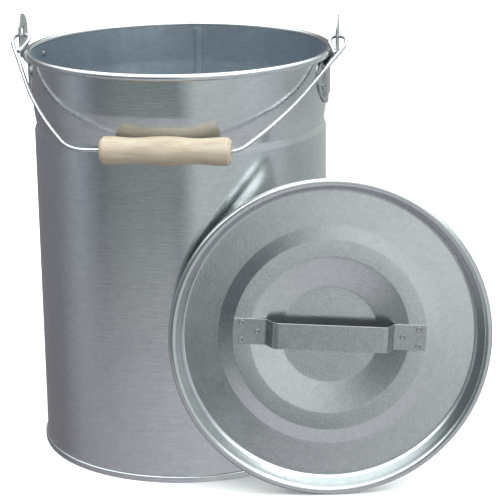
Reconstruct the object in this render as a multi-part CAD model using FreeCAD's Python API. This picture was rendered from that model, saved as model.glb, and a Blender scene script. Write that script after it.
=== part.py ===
import FreeCAD, Part
import math
import os
from FreeCAD import Vector

# Galvanised steel lidded can with a wire bail and a loose pressed lid.
# Millimetres. +Z is up, the origin is on the can's axis at the floor, and the
# two ears stand on +X and -X. The bail hangs forward, against the -Y side,
# and the lid leans on the can's front right with its foot on the floor.

# ---- can body and its rim ----
sheet = 0.7              # gauge of the body, base and lid sheets
canHeight = 410.0        # floor to the top of the rolled rim
bodyRadius = 147.5       # outside of the body wall
mouthFlare = 1.1         # how far the mouth stands outside the body wall
neckInset = 2.1          # how far the neck stands inside it, above the step
neckDrop = 74.0          # rim top down to the narrowest point of the neck
stepHeight = 6.0         # height over which the wall steps in
flareLength = 32.0       # height over which the neck opens out again
rimWireDiameter = 5.7    # stiffening wire that the rim is rolled round
curlOpening = 60.0       # degrees of the curl left open underneath
seamWidth = 8.7          # grooved side seam, along the wall
seamProud = 1.4          # how far the side seam stands inside the wall

# ---- base ----
baseSeamHeight = 6.1     # height of the double seam round the foot
baseRecess = 5.0         # underside of the base disc above the floor
foldGap = 0.05           # room between the folds of the double seam

# ---- ears ----
earSheet = 1.5
earGap = 0.05            # between the ear and the wall
earHalfWidth = 46.6      # half width of the plate, along the wall
earDrop = 55.5           # rim top down to the foot of the plate
earShoulderDrop = 8.5    # rim top down to the plate's shoulders
lugHalfWidth = 18.5
lugRise = 31.5           # rim top up to the top of the lug
lugCorner = 17.0         # rounding of the lug's upper corners
lugStandOff = 4.0        # lug's inner face outside the rolled rim
panelRoom = 0.9          # between the rivet heads and the raised panel
panelProud = 1.6
panelDrop = 44.0         # rim top down to the foot of the raised panel
earHoleDiameter = 11.0
pivotRise = 10.3         # rim top up to the wire where it lies in its hole
rivetShank = 4.0
rivetHead = 6.2
rivetHeadThickness = 0.9
rivetBore = 2.4          # the rivets are tubular
earRivetSpread = 32.0    # from the ear's middle, along the wall
earRivetDrops = (15.0, 34.0)

# ---- bail ----
bailWire = 4.0
bailSlack = 33.3         # how much further than the body's radius the grip hangs from its pivot
bailClearance = 0.3      # wire above the bottom of its hole
hookRadius = 8.0         # half the width of the hooked end, on the centre line
hookFlat = 1.5           # half the straight run through the ear
hookLeg = 2.1            # straight legs under the hook's two bends
tailDrop = 2.46          # rim top down to the hook's end, which slants back to the arm
tailInset = 1.54         # that end inside the middle of the ear's lug
tailBend = 12.0          # radius at which it turns back
bailBow = 390.0          # gentle bow of the arms
# The wire is bent by hand and its two sides differ a little.
leftFlatPast = 6.3       # straight run under the grip, past half the grip's length
leftBend = 30.0          # radius of the bend after it
leftSagLow = 11.3        # degrees that the arm leaves this bend below its chord
leftSagHigh = 4.0        # degrees that its upper run is steeper than its chord
rightFlatPast = 4.3
rightBend = 20.0
rightSagLow = 11.5
rightSagHigh = 3.1
gripLength = 123.5
gripOffset = 8.0         # how far the grip has slid to the right along its wire
gripEndDiameter = 26.4
gripWaistDiameter = 24.4
gripMiddleDiameter = 27.8
gripBoreRoom = 1.2       # bore wider than the wire
gripChamfer = 3.2
restGap = 0.4            # between resting pieces

# ---- lid ----
lidCurl = 4.1            # radius of the rolled edge, which sits on the can's rim
lidCurlInset = 0.15      # middle of the rolled edge inside the middle of the rim
lidDepth = 19.2          # top of the rolled edge down to the outer annulus
lidWallTaper = 3.8       # how far the wall leans in from the rolled edge to its foot
lidWallRound = 2.6       # rounding between that foot and the outer annulus
lidStepInner = 93.8      # raised ring: radius of its upper edge
lidStepWidth = 13.8      # from there out to its foot
lidDishRadius = 76.9     # shallow dish under the handle
lidDishSlope = 29.5      # width of its slope
lidAnnulusRise = 1.6     # outer annulus, from its edge to the ring
lidStepRise = 2.2
lidDishDepth = 4.0
strapWidth = 25.2
strapThickness = 1.2
strapEndRoom = 0.9       # from its end to the raised ring's edge
strapFootLength = 31.9   # from its end to the bend where each foot turns up
strapRiser = 7.0         # how far each riser leans in
strapLowBend = 3.0       # radius of the bend over the foot
strapHighBend = 6.0      # radius of the bend under the raised middle
strapRise = 16.4         # finger room between plateau and strap
strapShift = 1.3         # handle's middle above the lid's middle, as the lid leans
strapTurn = 3.6          # degrees, handle against the horizontal as the lid leans
rivetFromEnd = 7.1       # outer pair of rivets
rivetPitch = 15.5        # from there to the inner one
strapRivetSpread = 8.4
lidRivetHead = 5.6
lidRivetShank = 4.0
lidRivetBore = 3.0

# ---- how the lid leans ----
lidLean = 5.6            # degrees back from upright
lidFacing = 7.5          # degrees that it faces to the right of straight ahead
lidAside = 161.0         # lid's middle to the right of the can's axis

mouthRadius = bodyRadius + mouthFlare
neckRadius = bodyRadius - neckInset
rimRadius = rimWireDiameter / 2 + sheet
beadRadius = mouthRadius + rimWireDiameter / 2
beadHeight = canHeight - rimRadius
panelHalfWidth = earRivetSpread - rivetHead / 2 - panelRoom
bailReach = bodyRadius + bailSlack
earHoleRise = pivotRise + earHoleDiameter / 2 - bailWire / 2 - bailClearance
gripBore = bailWire + gripBoreRoom
lidRadius = beadRadius - lidCurlInset + lidCurl
lidWallFoot = lidRadius - 2 * lidCurl - lidWallTaper
lidAnnulusOuter = lidWallFoot - lidWallRound
lidStepOuter = lidStepInner + lidStepWidth
lidDishFloor = lidDishRadius - lidDishSlope
strapHalfLength = lidStepInner - strapEndRoom
strapRivetFar = strapHalfLength - rivetFromEnd
strapRivetNear = strapRivetFar - rivetPitch
up = Vector(0, 0, 1)
origin = Vector(0, 0, 0)


def rz(r, z):
    return Vector(r, 0, z)


def line(a, b):
    return Part.makeLine(a, b)


def arc(a, b, c):
    return Part.Arc(a, b, c).toShape()


def roundArc(centre, radius, start, end):
    """Arc in the XZ plane between two angles, in degrees from +X."""
    spots = []
    for angle in (start, (start + end) / 2, end):
        turn = math.radians(angle)
        spots.append(centre + Vector(radius * math.cos(turn), 0, radius * math.sin(turn)))
    return arc(*spots)


def polyline(points):
    return [line(a, b) for a, b in zip(points, points[1:])]


def sheetFace(edges, thickness):
    """Section of a sheet: the path and everything up to its thickness on one side."""
    return Part.Wire(edges).makeOffset2D(thickness, 0, True, True).Faces[0]


def polygonFace(points):
    return Part.Face(Part.makePolygon(list(points) + [points[0]]))


def spin(face, start=0.0, sweep=360.0):
    """Turn a section in the XZ plane about the can's axis."""
    solid = face.revolve(origin, up, sweep)
    solid.rotate(origin, up, start)
    return solid


def box(r0, r1, z0, z1):
    return polygonFace([rz(r0, z0), rz(r1, z0), rz(r1, z1), rz(r0, z1)])


def wallPath(bottom, top):
    """Outside of the wall from a height on the straight body up to a height in the mouth."""
    neck = canHeight - neckDrop
    mouth = neck + flareLength
    swell = rz((neckRadius + mouthRadius) / 2 + 0.5, neck + flareLength * 0.45)
    edges = polyline([rz(bodyRadius, bottom), rz(bodyRadius, neck - stepHeight), rz(neckRadius, neck)])
    edges.append(arc(rz(neckRadius, neck), swell, rz(mouthRadius, mouth)))
    edges.append(line(rz(mouthRadius, mouth), rz(mouthRadius, top)))
    return edges


def canBody():
    """Rolled sheet: hooked foot, straight wall, swaged neck, curled rim and side seam."""
    fold = sheet + foldGap
    edges = wallPath(fold, beadHeight)
    edges.append(roundArc(rz(beadRadius, beadHeight), rimWireDiameter / 2, 180, curlOpening - 120))
    shell = spin(sheetFace(edges, sheet))
    hookOuter = bodyRadius + 2 * fold
    flange = spin(box(bodyRadius - sheet, hookOuter, fold, fold + sheet))
    hook = spin(box(hookOuter - sheet, hookOuter, fold, baseSeamHeight - sheet - fold))
    ridge = sheetFace(wallPath(baseSeamHeight + 2, beadHeight - rimRadius), sheet + seamProud)
    sweep = math.degrees(seamWidth / bodyRadius)
    seam = spin(ridge, 90 - sweep / 2, sweep)
    return shell.fuse([flange, hook, seam]).removeSplitter()


def rimWire():
    return Part.makeTorus(beadRadius, rimWireDiameter / 2 - 0.02, rz(0, beadHeight), up)


def basePan():
    """Pressed base: recessed disc, wall down to the floor and the folds of the double seam."""
    fold = sheet + foldGap
    wallOuter = bodyRadius - sheet - foldGap
    skin = bodyRadius + 2 * fold + foldGap + sheet
    disc = spin(box(0.0, wallOuter, baseRecess, baseRecess + sheet))
    chuck = spin(box(wallOuter - sheet, wallOuter, 0.0, baseRecess + sheet))
    foot = spin(box(wallOuter - sheet, skin, 0.0, sheet))
    outer = spin(box(skin - sheet, skin, 0.0, baseSeamHeight))
    top = spin(box(bodyRadius + foldGap, skin, baseSeamHeight - sheet, baseSeamHeight))
    tuck = spin(box(bodyRadius + foldGap, bodyRadius + fold, fold + sheet + foldGap, baseSeamHeight))
    return disc.fuse([chuck, foot, outer, top, tuck]).removeSplitter()


def earOutline():
    """Outline of an ear seen square on: half width across, height up."""
    foot = canHeight - earDrop
    wide = canHeight - (earDrop + earShoulderDrop) * 0.375
    shoulder = canHeight - earShoulderDrop
    neck = canHeight - 2.0
    crown = canHeight + lugRise
    side = crown - lugCorner
    slant = lugCorner * (1 - math.sqrt(0.5))

    def at(share, z):
        return Vector(0, earHalfWidth * share, z)

    def lugAt(y, z):
        return Vector(0, y, z)

    top = lugHalfWidth - lugCorner
    right = [
        arc(at(0, foot), at(0.36, foot + 2.0), at(0.66, foot + 8.5)),
        arc(at(0.66, foot + 8.5), at(0.92, foot + 21.0), at(1, wide)),
        arc(at(1, wide), at(0.96, shoulder - 7.0), at(0.8, shoulder)),
        arc(at(0.8, shoulder), lugAt(lugHalfWidth * 1.35, shoulder + 2.0), lugAt(lugHalfWidth, neck)),
        line(lugAt(lugHalfWidth, neck), lugAt(lugHalfWidth, side)),
        arc(lugAt(lugHalfWidth, side), lugAt(lugHalfWidth - slant, crown - slant), lugAt(top, crown)),
        line(lugAt(top, crown), lugAt(0, crown)),
    ]
    left = [edge.mirror(origin, Vector(0, 1, 0)) for edge in right]
    return Part.Face(Part.Wire(Part.__sortEdges__(right + left)))


def ear():
    """Ear on +X: flanges on the wall, a raised panel, and a lug that clears the rim."""
    wall = mouthRadius + earGap
    low = canHeight - earDrop - 5
    crown = canHeight + lugRise + 5
    under = beadHeight - rimRadius - earGap * 6
    reach = 60.0
    blank = earOutline().extrude(Vector(reach, 0, 0))
    blank.translate(Vector(mouthRadius - 20, 0, 0))

    flange = spin(box(wall, wall + earSheet, low, under), -35, 70)
    inside = wall + panelProud
    lug = lugMiddle() - earSheet / 2
    lugFoot = beadHeight - 1.0
    foot = canHeight - panelDrop
    path = polyline([rz(inside, foot), rz(inside, lugFoot - 9), rz(lug, lugFoot), rz(lug, crown)])
    raised = spin(sheetFace(path, -earSheet), -35, 70)
    sill = spin(box(wall, inside + earSheet, foot - earSheet, foot), -35, 70)
    half = math.degrees(panelHalfWidth / wall)
    edge = math.degrees(earSheet / wall)
    middle = spin(box(wall - 20, lug + 20, low, crown), -half, 2 * half)
    pocket = spin(box(wall - 1, inside, foot, under), -half + edge, 2 * (half - edge))
    rib = spin(box(wall, inside + earSheet, foot, lugFoot - 9), -half, 2 * half).cut(pocket)

    plate = flange.cut(pocket).fuse([raised.common(middle), sill.common(middle), rib])
    middleOfHole = Vector(mouthRadius - 20, 0, canHeight + earHoleRise)
    hole = Part.makeCylinder(earHoleDiameter / 2, reach, middleOfHole, Vector(1, 0, 0))
    return plate.common(blank).cut(hole)


def earRivetSpots():
    """Angle round the can and height of each rivet of the ear on +X."""
    turn = math.degrees(earRivetSpread / mouthRadius)
    return [(side * turn, canHeight - drop) for side in (-1, 1) for drop in earRivetDrops]


def pin(radius, start, end, angle, height):
    """Cylinder along the can's radius."""
    shape = Part.makeCylinder(radius, end - start, rz(start, height), Vector(1, 0, 0))
    shape.rotate(origin, up, angle)
    return shape


def earRivet(angle, height):
    """Tubular rivet through ear and wall, with a rolled head outside and a clenched tail inside."""
    inside = mouthRadius - sheet - foldGap
    outside = mouthRadius + earGap + earSheet + foldGap
    shank = pin(rivetShank / 2, inside, outside, angle, height)
    head = pin(rivetHead / 2, outside, outside + rivetHeadThickness, angle, height)
    tail = pin(rivetHead / 2, inside - rivetHeadThickness, inside, angle, height)
    bore = pin(rivetBore / 2, inside, outside + rivetHeadThickness, angle, height)
    return shank.fuse([head, tail]).cut(bore)


def inPlane(x, d):
    """Spot in the hanging bail's own plane: x across, distance from the hinge down -Z."""
    return Vector(x, 0, -d)


def along(turn):
    return Vector(math.sin(turn), 0, -math.cos(turn))


def armAngles(hub, bendRadius, leg, sagLow, sagHigh):
    """Slopes of an arm where its bend ends and where its bow ends, from its chord."""
    chord = math.radians(60)
    for _ in range(30):
        start = hub + along(chord - math.radians(sagLow)) * bendRadius
        chord = math.atan2(leg.z - start.z, leg.x - start.x)
    return chord - math.radians(sagLow), chord + math.radians(sagHigh)


def hookedEnd(outerLeg):
    """Hook from the outer leg over through the ear and down to the tail beside the arm."""
    pivot = lugMiddle()
    hookBend = hookRadius - hookFlat
    slant = hookBend * math.sqrt(0.5)
    legDepth = hookBend + hookLeg
    tailDepth = (pivotRise + tailDrop) / math.cos(math.radians(restAngle()))
    tail = tailDepth - legDepth
    innerLeg = inPlane(pivot - hookRadius, legDepth)
    tailEnd = pivot - tailInset
    shift = tailEnd - innerLeg.x - tailBend
    straight = math.sqrt(shift ** 2 + tail ** 2 - tailBend ** 2)
    tailTurn = math.atan2(tailBend, straight) + math.atan2(shift, tail)
    tailHub = innerLeg + Vector(tailBend, 0, 0)
    tailMiddle = tailHub - Vector(math.cos(tailTurn / 2), 0, math.sin(tailTurn / 2)) * tailBend
    tailStart = tailHub - Vector(math.cos(tailTurn), 0, math.sin(tailTurn)) * tailBend
    outerTop = inPlane(pivot + hookFlat, 0)
    innerTop = inPlane(pivot - hookFlat, 0)
    outerBend = inPlane(pivot + hookRadius, hookBend)
    innerBend = inPlane(pivot - hookRadius, hookBend)
    return [
        line(outerLeg, outerBend),
        arc(outerBend, inPlane(pivot + hookFlat + slant, hookBend - slant), outerTop),
        line(outerTop, innerTop),
        arc(innerTop, inPlane(pivot - hookFlat - slant, hookBend - slant), innerBend),
        line(innerBend, innerLeg),
        arc(innerLeg, tailMiddle, tailStart),
        line(tailStart, inPlane(tailEnd, tailDepth)),
    ]


def bailPath(flatPast, bendRadius, sagLow, sagHigh):
    """One side of the bail: flat run, bend, bowed arm and hooked end."""
    flatHalf = gripLength / 2 + flatPast
    flat = inPlane(flatHalf, bailReach)
    hub = inPlane(flatHalf, bailReach - bendRadius)
    outerLeg = inPlane(lugMiddle() + hookRadius, hookRadius - hookFlat + hookLeg)
    bend, armTurn = armAngles(hub, bendRadius, outerLeg, sagLow, sagHigh)
    bendEnd = hub + along(bend) * bendRadius
    bowHub = bendEnd - along(bend) * bailBow
    bowEnd = bowHub + along(armTurn) * bailBow
    armWay = Vector(math.cos(armTurn), 0, math.sin(armTurn))
    elbow = bowEnd + armWay * ((outerLeg - bowEnd).Length * 0.88)
    reach = (outerLeg - elbow).Length / 3
    ease = Part.BezierCurve()
    ease.setPoles([elbow, elbow + armWay * reach, outerLeg - up * reach, outerLeg])
    return [
        line(inPlane(0, bailReach), flat),
        arc(flat, hub + along(bend / 2) * bendRadius, bendEnd),
        arc(bendEnd, bowHub + along((bend + armTurn) / 2) * bailBow, bowEnd),
        line(bowEnd, elbow),
        ease.toShape(),
    ] + hookedEnd(outerLeg)


def lugMiddle():
    """Distance from the can's axis to the middle of a lug's sheet."""
    return beadRadius + rimRadius + lugStandOff + earSheet / 2


def restAngle():
    """Angle of the hanging bail from straight down, where its grip meets the wall."""
    out = bodyRadius + gripMiddleDiameter / 2 + restGap
    return math.degrees(math.asin(out / bailReach))


def hinge():
    """Height of the bail's pivot: the wire lies just above the bottom of its hole."""
    return canHeight + earHoleRise - earHoleDiameter / 2 + bailWire / 2 + bailClearance


def swing(shape):
    """Bring a piece from the hanging bail's plane to where the bail rests."""
    shape.rotate(origin, Vector(1, 0, 0), -restAngle())
    shape.translate(Vector(0, 0, hinge()))
    return shape


def bailSide(*bends):
    start = Vector(0, 0, -bailReach)
    section = Part.Wire(Part.makeCircle(bailWire / 2, start, Vector(1, 0, 0)))
    return Part.Wire(bailPath(*bends)).makePipeShell([section], True, False)


def bailWireShape():
    right = bailSide(rightFlatPast, rightBend, rightSagLow, rightSagHigh)
    left = bailSide(leftFlatPast, leftBend, leftSagLow, leftSagHigh).mirror(origin, Vector(1, 0, 0))
    return swing(right.fuse(left).removeSplitter())


def grip():
    """Turned wooden grip: two waists, a fuller middle, chamfered ends and a through bore."""
    half = gripLength / 2
    end = gripEndDiameter / 2
    waist = gripWaistDiameter / 2
    curve = Part.BSplineCurve()
    stations = [
        (-half + gripChamfer, end),
        (-half * 0.5, waist),
        (0, gripMiddleDiameter / 2),
        (half * 0.5, waist),
        (half - gripChamfer, end),
    ]
    curve.interpolate([Vector(x, 0, r) for x, r in stations])
    bore = gripBore / 2
    face = Part.Face(Part.Wire([
        line(Vector(-half, 0, bore), Vector(-half, 0, end - gripChamfer)),
        line(Vector(-half, 0, end - gripChamfer), Vector(-half + gripChamfer, 0, end)),
        curve.toShape(),
        line(Vector(half - gripChamfer, 0, end), Vector(half, 0, end - gripChamfer)),
        line(Vector(half, 0, end - gripChamfer), Vector(half, 0, bore)),
        line(Vector(half, 0, bore), Vector(-half, 0, bore)),
    ]))
    solid = face.revolve(origin, Vector(1, 0, 0), 360)
    solid.translate(Vector(gripOffset, 0, -bailReach))
    return swing(solid)


def plateauLevel():
    return -lidDepth + lidAnnulusRise + lidStepRise


def dishLevel(radius):
    """Height of the lid's upper face between the plateau and the dish's floor."""
    share = (lidDishRadius - radius) / (lidDishRadius - lidDishFloor)
    return plateauLevel() - lidDishDepth * min(max(share, 0.0), 1.0)


def lidPanel():
    """Lid in its own frame: +Z out of its upper face, 0 at the top of the rolled edge."""
    annulus = -lidDepth
    plateau = plateauLevel()
    curlHub = rz(lidRadius - lidCurl, -lidCurl)
    inner = curlHub - Vector(lidCurl, 0, 0)
    floor = plateau - lidDishDepth
    edges = polyline([
        rz(0, floor), rz(lidDishFloor, floor), rz(lidDishRadius, plateau), rz(lidStepInner, plateau),
        rz(lidStepOuter, annulus + lidAnnulusRise), rz(lidAnnulusOuter, annulus),
        rz(lidWallFoot, annulus + lidWallRound), inner,
    ])
    edges.append(roundArc(curlHub, lidCurl, 180, -150))
    panel = spin(sheetFace(edges, -sheet))
    for spot in strapRivetSpots():
        hole = Part.makeCylinder(lidRivetShank / 2, lidDepth, Vector(spot.x, spot.y, annulus - 5))
        panel = panel.cut(hole)
    return panel


def strapRivetPlan():
    """Rivets of one foot: distance from the strap's middle, and which side of its line."""
    return ((strapRivetFar, 1), (strapRivetFar, -1), (strapRivetNear, 0))


def strapRivetSpots():
    """Rivets of both feet: two at the outer end and one inside, on the strap's line."""
    spots = []
    for side in (-1, 1):
        for far, across in strapRivetPlan():
            spot = Vector(side * far, across * strapRivetSpread, 0)
            spots.append(turned(spot))
    return spots


def turned(spot):
    """A spot on the strap's own line, in the lid's frame."""
    turn = math.radians(-strapTurn)
    across = spot.x * math.cos(turn) - spot.y * math.sin(turn)
    rise = spot.x * math.sin(turn) + spot.y * math.cos(turn)
    return Vector(across, rise + strapShift, spot.z)


def filletedPath(corners, radii):
    """Straight runs joined by tangent arcs, one radius for each inner corner."""
    edges = []
    start = corners[0]
    for before, corner, after, radius in zip(corners, corners[1:], corners[2:], radii):
        back = (before - corner).normalize()
        ahead = (after - corner).normalize()
        half = back.getAngle(ahead) / 2
        reach = radius / math.tan(half)
        hub = corner + (back + ahead).normalize() * (radius / math.sin(half))
        middle = hub + (corner - hub).normalize() * radius
        edges.append(line(start, corner + back * reach))
        edges.append(arc(corner + back * reach, middle, corner + ahead * reach))
        start = corner + ahead * reach
    edges.append(line(start, corners[-1]))
    return edges


def lidHandle():
    """Bent strap: two flat feet on the plateau and a raised middle."""
    low = plateauLevel() + foldGap
    high = low + strapRise
    footEnd = strapHalfLength - strapFootLength
    side = [(-strapHalfLength, low), (-footEnd, low), (-footEnd + strapRiser, high)]
    corners = [rz(x, z) for x, z in side] + [rz(-x, z) for x, z in reversed(side)]
    bends = (strapLowBend, strapHighBend, strapHighBend, strapLowBend)
    path = filletedPath(corners, bends)
    face = sheetFace(path, strapThickness)
    if face.BoundBox.ZMin < low - strapThickness / 2:
        face = sheetFace(path, -strapThickness)
    strap = face.extrude(Vector(0, strapWidth, 0))
    strap.translate(Vector(0, -strapWidth / 2, 0))
    for far, across in strapRivetPlan():
        for end in (-1, 1):
            spot = Vector(end * far, across * strapRivetSpread, low - 1)
            strap = strap.cut(Part.makeCylinder(lidRivetShank / 2, strapThickness + 2, spot))
    strap.rotate(origin, up, -strapTurn)
    strap.translate(Vector(0, strapShift, 0))
    return strap


def lidRivet(spot):
    """Tubular rivet through strap and lid; spot is its place in the lid's frame."""
    seat = plateauLevel() + 2 * foldGap + strapThickness
    under = dishLevel(math.hypot(spot.x, spot.y) - lidRivetHead / 2) - sheet - foldGap
    foot = Vector(spot.x, spot.y, under - rivetHeadThickness)
    shank = Part.makeCylinder(lidRivetShank / 2, seat - under, Vector(spot.x, spot.y, under))
    head = Part.makeCylinder(lidRivetHead / 2, rivetHeadThickness, Vector(spot.x, spot.y, seat))
    tail = Part.makeCylinder(lidRivetHead / 2, rivetHeadThickness, foot)
    length = seat + rivetHeadThickness - under
    bore = Part.makeCylinder(lidRivetBore / 2, length, Vector(spot.x, spot.y, under))
    return shank.fuse([head, tail]).cut(bore)


def lidAxes():
    """Across, up and outward directions of the leaning lid."""
    facing = math.radians(lidFacing)
    lean = math.radians(lidLean)
    out = Vector(math.sin(facing) * math.cos(lean), -math.cos(facing) * math.cos(lean), math.sin(lean))
    across = Vector(math.cos(facing), math.sin(facing), 0)
    return across, out.cross(across), out


def lidSeat():
    """Middle of the leaning lid: its edge is on the floor and its back meets the wall."""
    across, rise, out = lidAxes()
    curl = lidRadius - lidCurl
    middleHeight = curl * rise.z + lidCurl + restGap * 0.1
    back = [
        (curl, -2 * lidCurl),
        (lidRadius, -lidCurl),
        (lidWallFoot, lidWallRound - sheet - lidDepth),
        (lidAnnulusOuter, -lidDepth - sheet),
    ]
    spots = []
    for radius, level in back:
        for step in range(720):
            turn = math.radians(step / 2)
            ring = across * (radius * math.cos(turn)) + rise * (radius * math.sin(turn))
            spots.append(ring + out * (level + lidCurl))
    near, far = -3 * bodyRadius, -bodyRadius / 2
    for _ in range(40):
        middle = (near + far) / 2
        gap = min(math.hypot(lidAside + p.x, middle + p.y) for p in spots) - bodyRadius
        if gap > restGap:
            near = middle
        else:
            far = middle
    return Vector(lidAside, near, middleHeight) + out * lidCurl


def lean(shape):
    """Bring a piece from the lid's own frame to where the lid leans."""
    across, rise, out = lidAxes()
    seat = lidSeat()
    matrix = FreeCAD.Matrix(
        across.x, rise.x, out.x, seat.x,
        across.y, rise.y, out.y, seat.y,
        across.z, rise.z, out.z, seat.z,
        0, 0, 0, 1,
    )
    shape.Placement = FreeCAD.Placement(matrix).multiply(shape.Placement)
    return shape


def opposite(shape):
    """The same piece on the other side of the can."""
    twin = shape.copy()
    twin.rotate(origin, up, 180)
    return twin


def save(name, shape):
    solids = shape.Solids
    result = solids[0] if len(solids) == 1 else Part.makeCompound(solids)
    result.exportStep("parts/" + name + ".step")
    print(name, len(solids), "solids", round(result.Volume), "mm3", result.isValid())


def build():
    os.makedirs("parts", exist_ok=True)
    body = canBody()
    rivets = []
    for angle, height in earRivetSpots():
        hole = pin(rivetShank / 2, mouthRadius - 20, mouthRadius + 20, angle, height)
        body = body.cut([hole, opposite(hole)])
        rivets.append((earRivet(angle, height), hole))
    rightEar = ear().cut([hole for _, hole in rivets])
    rightRivets = Part.makeCompound([rivet for rivet, _ in rivets])
    save("can_body", body)
    save("rim_wire", rimWire())
    save("base_pan", basePan())
    save("ear_right", rightEar)
    save("ear_left", opposite(rightEar))
    save("ear_rivets_right", rightRivets)
    save("ear_rivets_left", opposite(rightRivets))
    save("bail_wire", bailWireShape())
    save("bail_grip", grip())
    save("lid_panel", lean(lidPanel()))
    save("lid_handle", lean(lidHandle()))
    spots = strapRivetSpots()
    save("lid_rivets_left", lean(Part.makeCompound([lidRivet(spot) for spot in spots[:3]])))
    save("lid_rivets_right", lean(Part.makeCompound([lidRivet(spot) for spot in spots[3:]])))


build()
print("hinge height", round(hinge(), 2), "rest angle", round(restAngle(), 2))
print("lid seat", [round(v, 2) for v in lidSeat()])
print("lid axes", [[round(c, 4) for c in axis] for axis in lidAxes()])
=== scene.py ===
import math

import bmesh
import bpy
import numpy as np
from mathutils import Matrix, Vector


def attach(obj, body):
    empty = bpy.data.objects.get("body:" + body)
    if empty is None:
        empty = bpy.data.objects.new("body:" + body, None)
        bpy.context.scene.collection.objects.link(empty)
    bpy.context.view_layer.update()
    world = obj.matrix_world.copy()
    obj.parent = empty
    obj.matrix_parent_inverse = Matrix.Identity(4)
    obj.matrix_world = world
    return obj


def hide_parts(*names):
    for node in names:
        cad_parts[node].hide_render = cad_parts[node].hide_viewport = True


# Galvanised steel can with a rolled rim, a wire bail with a beech grip, and a
# loose pressed lid that leans on its front right. Lengths below are in
# millimetres, the objects in metres.

mm = 0.001
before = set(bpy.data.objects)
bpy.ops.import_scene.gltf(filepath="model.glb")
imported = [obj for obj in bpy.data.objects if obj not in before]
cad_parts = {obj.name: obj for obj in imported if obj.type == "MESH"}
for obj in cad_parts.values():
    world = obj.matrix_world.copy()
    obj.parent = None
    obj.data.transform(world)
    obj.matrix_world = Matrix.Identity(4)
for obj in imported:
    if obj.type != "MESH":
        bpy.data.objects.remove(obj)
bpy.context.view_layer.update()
print("frame loaded:", len(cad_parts), "parts")


# An sRGB hex colour as linear RGBA.
def linear(hexColour):
    parts = [int(hexColour[i:i + 2], 16) / 255 for i in (1, 3, 5)]
    return [c / 12.92 if c <= 0.04045 else ((c + 0.055) / 1.055) ** 2.4 for c in parts] + [1.0]


# Mesh from points in mm (rows of x, y, z) and quads or triangles, riding on a CAD body.
def makePiece(name, points, faces, body, creaseAngle=35):
    mesh = bpy.data.meshes.new(name)
    mesh.from_pydata((np.asarray(points) * mm).tolist(), [], [list(face) for face in faces])
    mesh.validate()
    mesh.polygons.foreach_set("use_smooth", np.ones(len(mesh.polygons), dtype=bool))
    mesh.set_sharp_from_angle(angle=math.radians(creaseAngle))
    piece = bpy.data.objects.new(name, mesh)
    bpy.context.scene.collection.objects.link(piece)
    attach(piece, body)
    return piece


# Polyline whose corners are replaced by arcs: each arc touches both sides at
# radius * tan(half the turn) from the corner, and is stepped every few degrees.
def rounded(corners, radii, step=12):
    corners = np.asarray(corners, float)
    pieces = [corners[:1]]
    for a, b, c, radius in zip(corners, corners[1:], corners[2:], radii):
        into = (b - a) / np.linalg.norm(b - a)
        away = (c - b) / np.linalg.norm(c - b)
        turn = math.atan2(into[0] * away[1] - into[1] * away[0], into @ away)
        if radius <= 0 or abs(turn) < 1e-4:      # a sharp corner, or no corner at all
            pieces.append(b[None])
            continue
        back = radius * math.tan(abs(turn) / 2)
        start = b - into * back
        side = np.array([-into[1], into[0]]) * np.sign(turn)
        hub = start + side * radius
        angles = np.linspace(0, turn, max(3, int(abs(math.degrees(turn)) / step) + 2))
        spoke = start - hub
        pieces.append(hub + np.stack([
            spoke[0] * np.cos(angles) - spoke[1] * np.sin(angles),
            spoke[0] * np.sin(angles) + spoke[1] * np.cos(angles)], 1))
    pieces.append(corners[-1:])
    return np.concatenate(pieces)


# Closed outline of a sheet: the path, then back along the path moved sideways
# by the thickness, each point along the mean of its two neighbours' normals.
def thickened(path, thickness):
    path = np.asarray(path, float)
    along = np.diff(path, axis=0)
    along /= np.linalg.norm(along, axis=1)[:, None]
    ahead = np.vstack([along, along[-1:]])
    behind = np.vstack([along[:1], along])
    mean = ahead + behind
    mean /= np.linalg.norm(mean, axis=1)[:, None]
    stretch = np.clip((mean * ahead).sum(1), 0.5, 1)
    normal = np.stack([-mean[:, 1], mean[:, 0]], 1) / stretch[:, None]
    return np.vstack([path, (path + normal * thickness)[::-1]])


# Quads of a grid of points numbered row by row.
def gridFaces(rows, columns, wrapRows, wrapColumns):
    r = np.arange(rows if wrapRows else rows - 1)
    c = np.arange(columns if wrapColumns else columns - 1)
    r, c = (g.ravel() for g in np.meshgrid(r, c, indexing="ij"))
    r2, c2 = (r + 1) % rows, (c + 1) % columns
    return np.stack([r * columns + c, r * columns + c2, r2 * columns + c2, r2 * columns + c], 1)


# Area inside a closed outline: half the sum of x * next y - next x * y, which is
# negative when the outline runs clockwise.
def outlineArea(outline):
    x, y = outline[:, 0], outline[:, 1]
    return 0.5 * float(np.sum(x * np.roll(y, -1) - np.roll(x, -1) * y))


# Closed outline of (radius, height) turned about Z: x = r cos t, y = r sin t, z = h.
def revolved(outline, segments=256):
    outline = np.asarray(outline, float)
    if outlineArea(outline) < 0:
        outline = outline[::-1]
    t = np.linspace(0, 2 * np.pi, segments, endpoint=False)[:, None]
    r, h = outline[:, 0][None], outline[:, 1][None]
    points = np.stack([r * np.cos(t), r * np.sin(t), h + 0 * t], -1).reshape(-1, 3)
    return points, gridFaces(segments, len(outline), True, True)


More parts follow.
